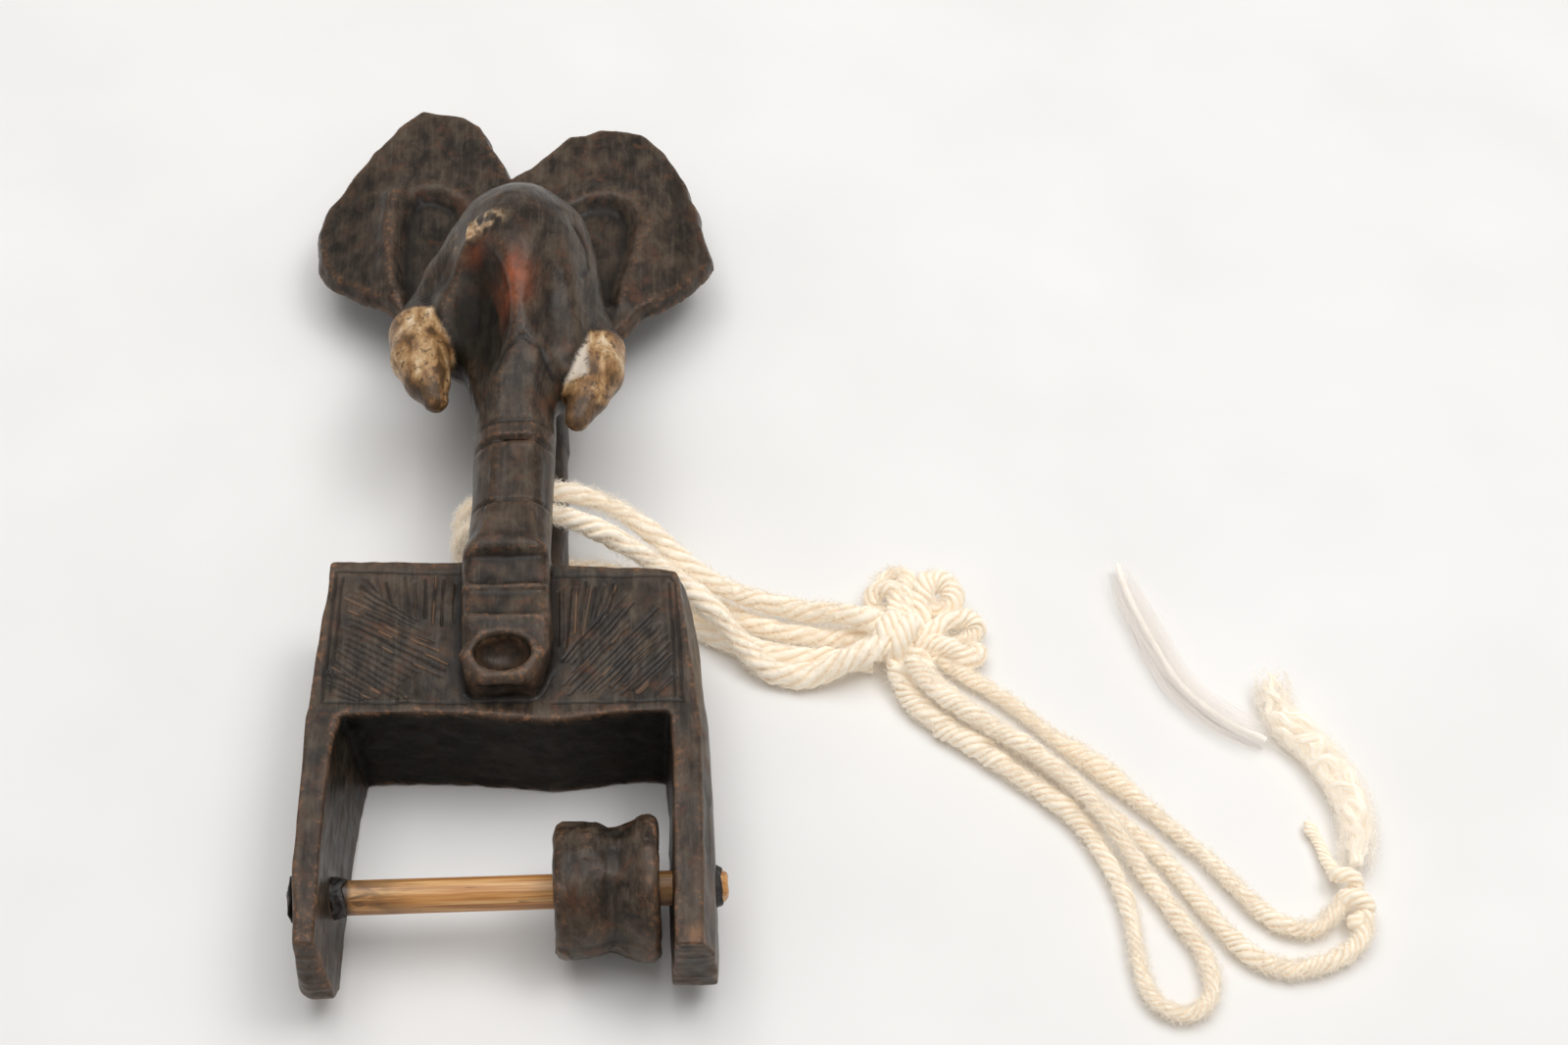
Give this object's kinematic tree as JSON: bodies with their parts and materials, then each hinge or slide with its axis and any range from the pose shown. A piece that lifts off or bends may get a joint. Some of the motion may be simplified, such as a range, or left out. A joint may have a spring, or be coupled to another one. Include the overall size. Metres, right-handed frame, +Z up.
{
  "type": "loom heddle pulley",
  "caption": "Carved U-shaped yoke with an elephant-head finial, a cane axle pin, a loose waisted spool and a knotted cotton cord round the neck.",
  "frame": {"origin": "under the middle of the carving's bounding box, on the surface it lies on", "axes": "+X along the axle, to the side that the cord leaves; +Y from the leg tips to the elephant's ears; +Z up out of the carved front face"},
  "size_m": [0.1909, 0.21, 0.044],
  "materials": {
    "carved_wood": "dark patinated hardwood, tool-cut, worn at the edges",
    "cane": "split bamboo, smooth, streaked with dark resin",
    "spool_wood": "dark turned wood, polished by the cord, pale specks",
    "pitch": "black resin, crumbly and dull",
    "cotton": "cream hand-spun cotton, plied, soft and hairy"
  },
  "bodies": {
    "carving": {"carved_pulley": "carved_wood", "pitch_left_inner": "pitch", "pitch_left_outer": "pitch", "pitch_right_outer": "pitch", "yarn_main_knot": "cotton", "yarn_loop_tuft": "cotton", "yarn_end_knot": "cotton", "yarn_turn_high": "cotton", "yarn_turn_low": "cotton", "yarn_bight": "cotton", "yarn_tail_inner": "cotton", "yarn_tail_outer": "cotton", "yarn_frayed_end": "cotton", "yarn_wispy_tail": "cotton", "yarn_ply_end": "cotton"},
    "axle": {"axle_pin": "cane"},
    "spool": {"spool": "spool_wood"}
  },
  "joints": [
    {"name": "axle_turn", "type": "hinge", "parent": "carving", "child": "axle", "pos_m": [0, -0.08575, 0.0126], "axis": [1, 0, 0], "continuous": true},
    {"name": "spool_slide", "type": "slide", "parent": "axle", "child": "spool", "axis": [1, 0, 0], "range_m": [-0.032, 0.001]}
  ]
}
